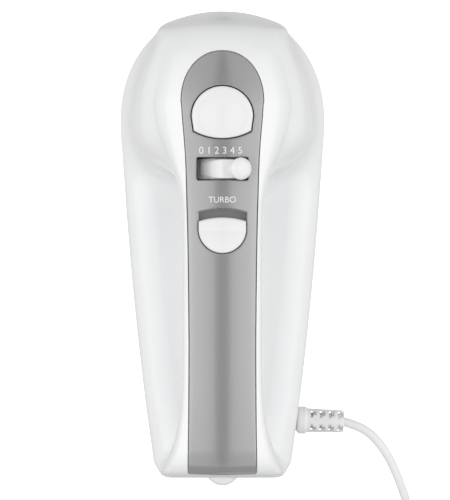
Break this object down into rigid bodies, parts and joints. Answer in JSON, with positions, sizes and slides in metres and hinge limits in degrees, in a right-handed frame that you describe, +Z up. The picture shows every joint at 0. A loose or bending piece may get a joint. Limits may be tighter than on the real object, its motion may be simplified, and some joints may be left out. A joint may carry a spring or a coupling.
{
  "type": "hand mixer",
  "caption": "White hand mixer with a grey handle strip, eject button, rotary speed knob, turbo slider and sleeved lead, lying on its flat belly.",
  "frame": {"origin": "under the middle of the mixer's box, on the surface it lies on", "axes": "+Z up from the belly to the handle, +Y towards the nose, +X to the right seen from above with the nose away"},
  "size_m": [0.1364, 0.3235, 0.1282],
  "materials": {
    "shell_white": "gloss",
    "grille_white": "gloss",
    "strip_grey": "satin",
    "control_white": "gloss",
    "inner_plastic": "satin",
    "gear_nylon": "satin",
    "switch_black": "matte",
    "steel": "satin",
    "spring_steel": "polished",
    "lamination": "satin",
    "copper_wire": "gloss",
    "bronze": "satin",
    "carbon": "matte",
    "board_green": "satin",
    "wire_jacket": "satin",
    "heat_sink": "satin",
    "cord_white": "satin",
    "tie_grey": "matte",
    "pin_nickel": "polished"
  },
  "bodies": {
    "housing": {"upper_housing": "shell_white", "lower_housing": "shell_white", "front_grille": "grille_white", "handle_cover": "strip_grey", "eject_spring": "spring_steel", "control_frame": "inner_plastic", "frame_screws": "steel", "speed_switch": "switch_black", "turbo_spring": "spring_steel", "turbo_switch": "switch_black", "motor_stator": "lamination", "field_windings": "copper_wire", "rear_bearing": "bronze", "front_bearing": "bronze", "nose_bearing": "bronze", "motor_bracket": "inner_plastic", "brush_holders": "bronze", "carbon_brushes": "carbon", "brush_springs": "spring_steel", "motor_screws": "steel", "gearbox_base": "inner_plastic", "gearbox_cover": "inner_plastic", "right_socket_collar": "strip_grey", "left_socket_collar": "strip_grey", "gearbox_screws": "steel", "housing_screws": "steel", "control_board": "board_green", "suppressor_capacitor": "bronze", "terminal_block": "switch_black", "board_triac": "heat_sink", "lead_wires": "wire_jacket", "switch_harness": "wire_jacket", "inner_cord": "cord_white", "cord_clamp": "inner_plastic", "clamp_screws": "steel", "strain_relief": "cord_white", "power_cord": "cord_white", "cord_coil": "cord_white", "cord_tie": "tie_grey", "cord_tail": "cord_white", "plug_body": "cord_white", "plug_pins": "pin_nickel"},
    "eject_lever": {"eject_button": "control_white", "ejector_rod": "inner_plastic", "ejector_pins": "steel"},
    "speed_knob": {"speed_dial": "control_white", "speed_contact": "bronze"},
    "turbo_slider": {"turbo_button": "control_white"},
    "armature": {"armature_shaft": "steel", "worm": "steel", "armature_core": "lamination", "armature_windings": "copper_wire", "commutator": "copper_wire", "cooling_fan": "inner_plastic"},
    "right_wheel": {"right_drive_gear": "gear_nylon"},
    "left_wheel": {"left_drive_gear": "gear_nylon"}
  },
  "joints": [
    {"name": "eject_press", "type": "slide", "parent": "housing", "child": "eject_lever", "axis": [0, 0, -1], "range_m": [0, 0.006], "stiffness_N_per_m": 900, "springref_m": -0.002, "deforming": ["eject_spring"]},
    {"name": "speed_turn", "type": "hinge", "parent": "housing", "child": "speed_knob", "pos_m": [0, 0.0337, 0.1066], "axis": [0, 1, 0], "range_deg": [-49.5, 0]},
    {"name": "turbo_push", "type": "slide", "parent": "housing", "child": "turbo_slider", "axis": [0, 1, 0], "range_m": [0, 0.003], "stiffness_N_per_m": 700, "springref_m": -0.002, "deforming": ["turbo_spring"]},
    {"name": "motor_spin", "type": "hinge", "parent": "housing", "child": "armature", "pos_m": [0, 0.06, 0.033], "axis": [0, 1, 0], "continuous": true},
    {"name": "right_wheel_spin", "type": "hinge", "parent": "housing", "child": "right_wheel", "pos_m": [0.0195, 0.06, 0.033], "axis": [0, 0, 1], "continuous": true},
    {"name": "left_wheel_spin", "type": "hinge", "parent": "housing", "child": "left_wheel", "pos_m": [-0.0195, 0.06, 0.033], "axis": [0, 0, 1], "continuous": true}
  ],
  "couplings": [
    {"joint": "right_wheel_spin", "follows": "motor_spin", "ratio": 0.033333},
    {"joint": "left_wheel_spin", "follows": "motor_spin", "ratio": -0.033333}
  ]
}
